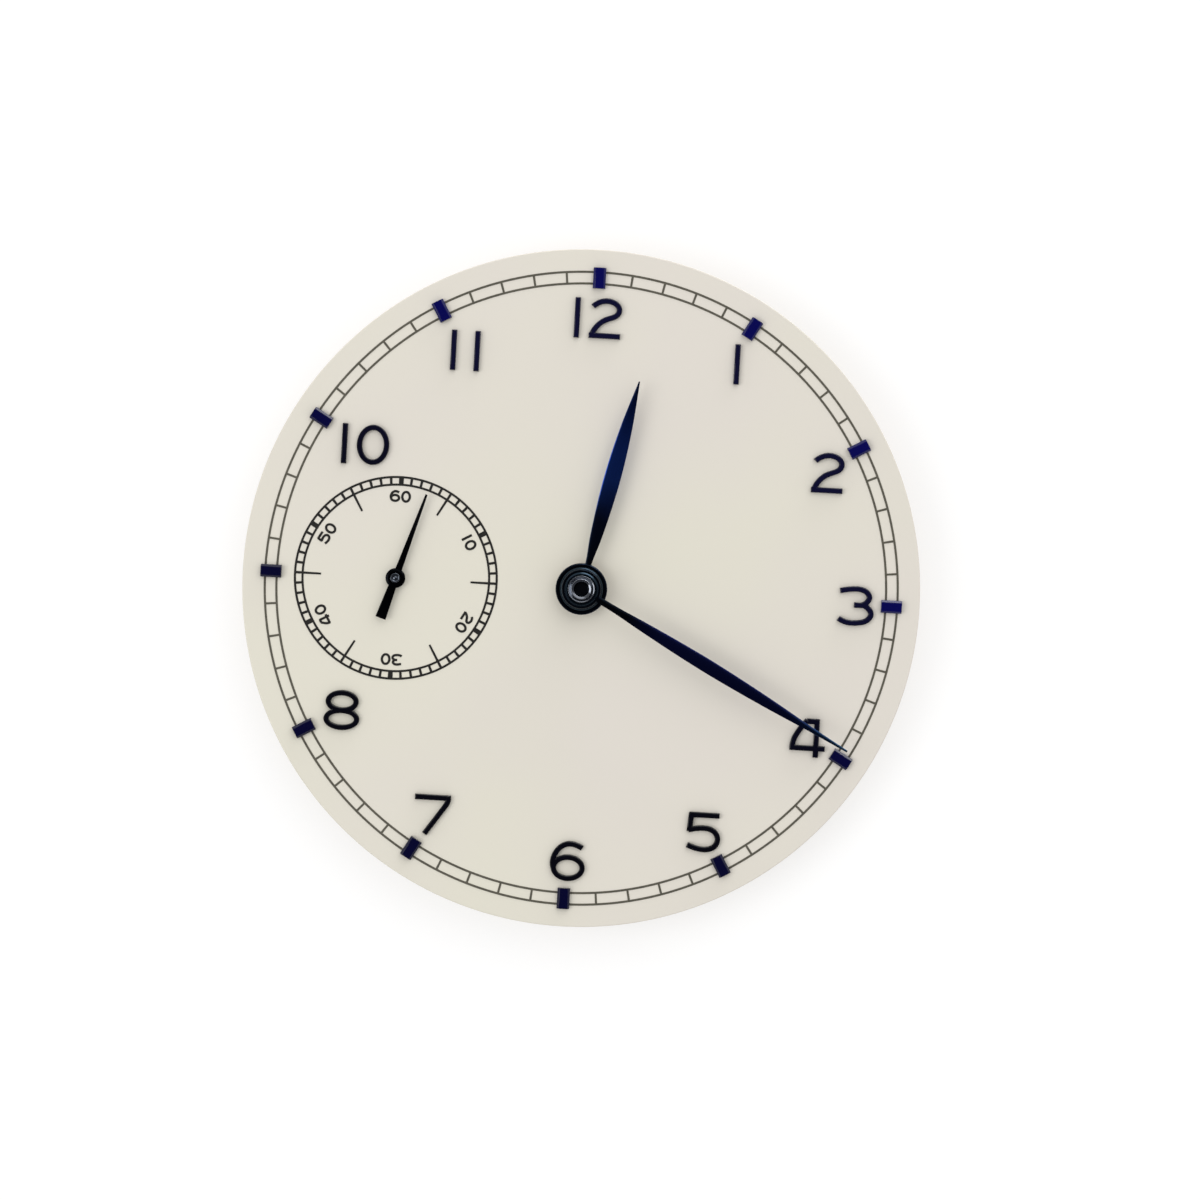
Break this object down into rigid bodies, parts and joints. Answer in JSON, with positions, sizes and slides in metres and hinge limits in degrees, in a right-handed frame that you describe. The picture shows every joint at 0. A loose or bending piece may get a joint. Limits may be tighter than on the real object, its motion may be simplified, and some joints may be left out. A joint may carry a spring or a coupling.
{
  "type": "watch dial",
  "caption": "Round watch dial with small seconds at nine, applied numerals and leaf hands, seated on a movement plate whose motion work turns the hands.",
  "frame": {"origin": "on the axis of the hands, level with the underside of the plate", "axes": "+X towards three o'clock, +Y towards twelve o'clock, +Z out of the dial's face"},
  "size_m": [0.0384, 0.0384, 0.0053],
  "materials": {
    "gilt_brass": "fine-grained gilt",
    "bearing_bronze": "turned bronze",
    "ruby": "polished synthetic ruby",
    "polished_steel": "polished steel",
    "cream_lacquer": "satin cream lacquer on brass",
    "copper": "bright copper",
    "printing_ink": "printed black ink",
    "navy_lacquer": "polished navy lacquer",
    "blued_steel": "polished blued steel",
    "wheel_brass": "circular-grained brass"
  },
  "bodies": {
    "plate": {"main_plate": "gilt_brass", "centre_bush": "bearing_bronze", "seconds_jewel": "ruby", "minute_wheel_post": "polished_steel", "dial_plate": "cream_lacquer", "dial_feet": "copper", "dial_foot_screws": "polished_steel", "minute_track": "printing_ink", "seconds_track": "printing_ink", "seconds_figures": "printing_ink", "hour_markers": "navy_lacquer", "numeral_one": "navy_lacquer", "numeral_two": "navy_lacquer", "numeral_three": "navy_lacquer", "numeral_four": "navy_lacquer", "numeral_five": "navy_lacquer", "numeral_six": "navy_lacquer", "numeral_seven": "navy_lacquer", "numeral_eight": "navy_lacquer", "numeral_ten": "navy_lacquer", "numeral_eleven": "navy_lacquer", "numeral_twelve": "navy_lacquer", "dial_washer": "wheel_brass"},
    "minute_arbor": {"centre_arbor": "polished_steel", "cannon_pinion": "polished_steel", "minute_hand": "blued_steel", "minute_hand_collet": "blued_steel"},
    "hour_wheel": {"hour_wheel": "wheel_brass", "hour_hand": "blued_steel", "hour_hand_collet": "blued_steel"},
    "minute_wheel": {"minute_wheel": "wheel_brass", "minute_pinion": "polished_steel"},
    "seconds_arbor": {"seconds_arbor": "polished_steel", "seconds_hand": "blued_steel", "seconds_hand_tube": "polished_steel"}
  },
  "joints": [
    {"name": "minute_turn", "type": "hinge", "parent": "plate", "child": "minute_arbor", "pos_m": [0, 0, 0.0016], "axis": [0, 0, -1], "continuous": true},
    {"name": "hour_turn", "type": "hinge", "parent": "plate", "child": "hour_wheel", "pos_m": [0, 0, 0.0026], "axis": [0, 0, -1], "continuous": true},
    {"name": "minute_wheel_turn", "type": "hinge", "parent": "plate", "child": "minute_wheel", "pos_m": [0.00295, -0.00206, 0.00222], "axis": [0, 0, -1], "continuous": true},
    {"name": "seconds_turn", "type": "hinge", "parent": "plate", "child": "seconds_arbor", "pos_m": [-0.01055, 0, 0.0014], "axis": [0, 0, -1], "continuous": true}
  ],
  "couplings": [
    {"joint": "hour_turn", "follows": "minute_turn", "ratio": 0.083333},
    {"joint": "minute_wheel_turn", "follows": "minute_turn", "ratio": -0.33333}
  ]
}
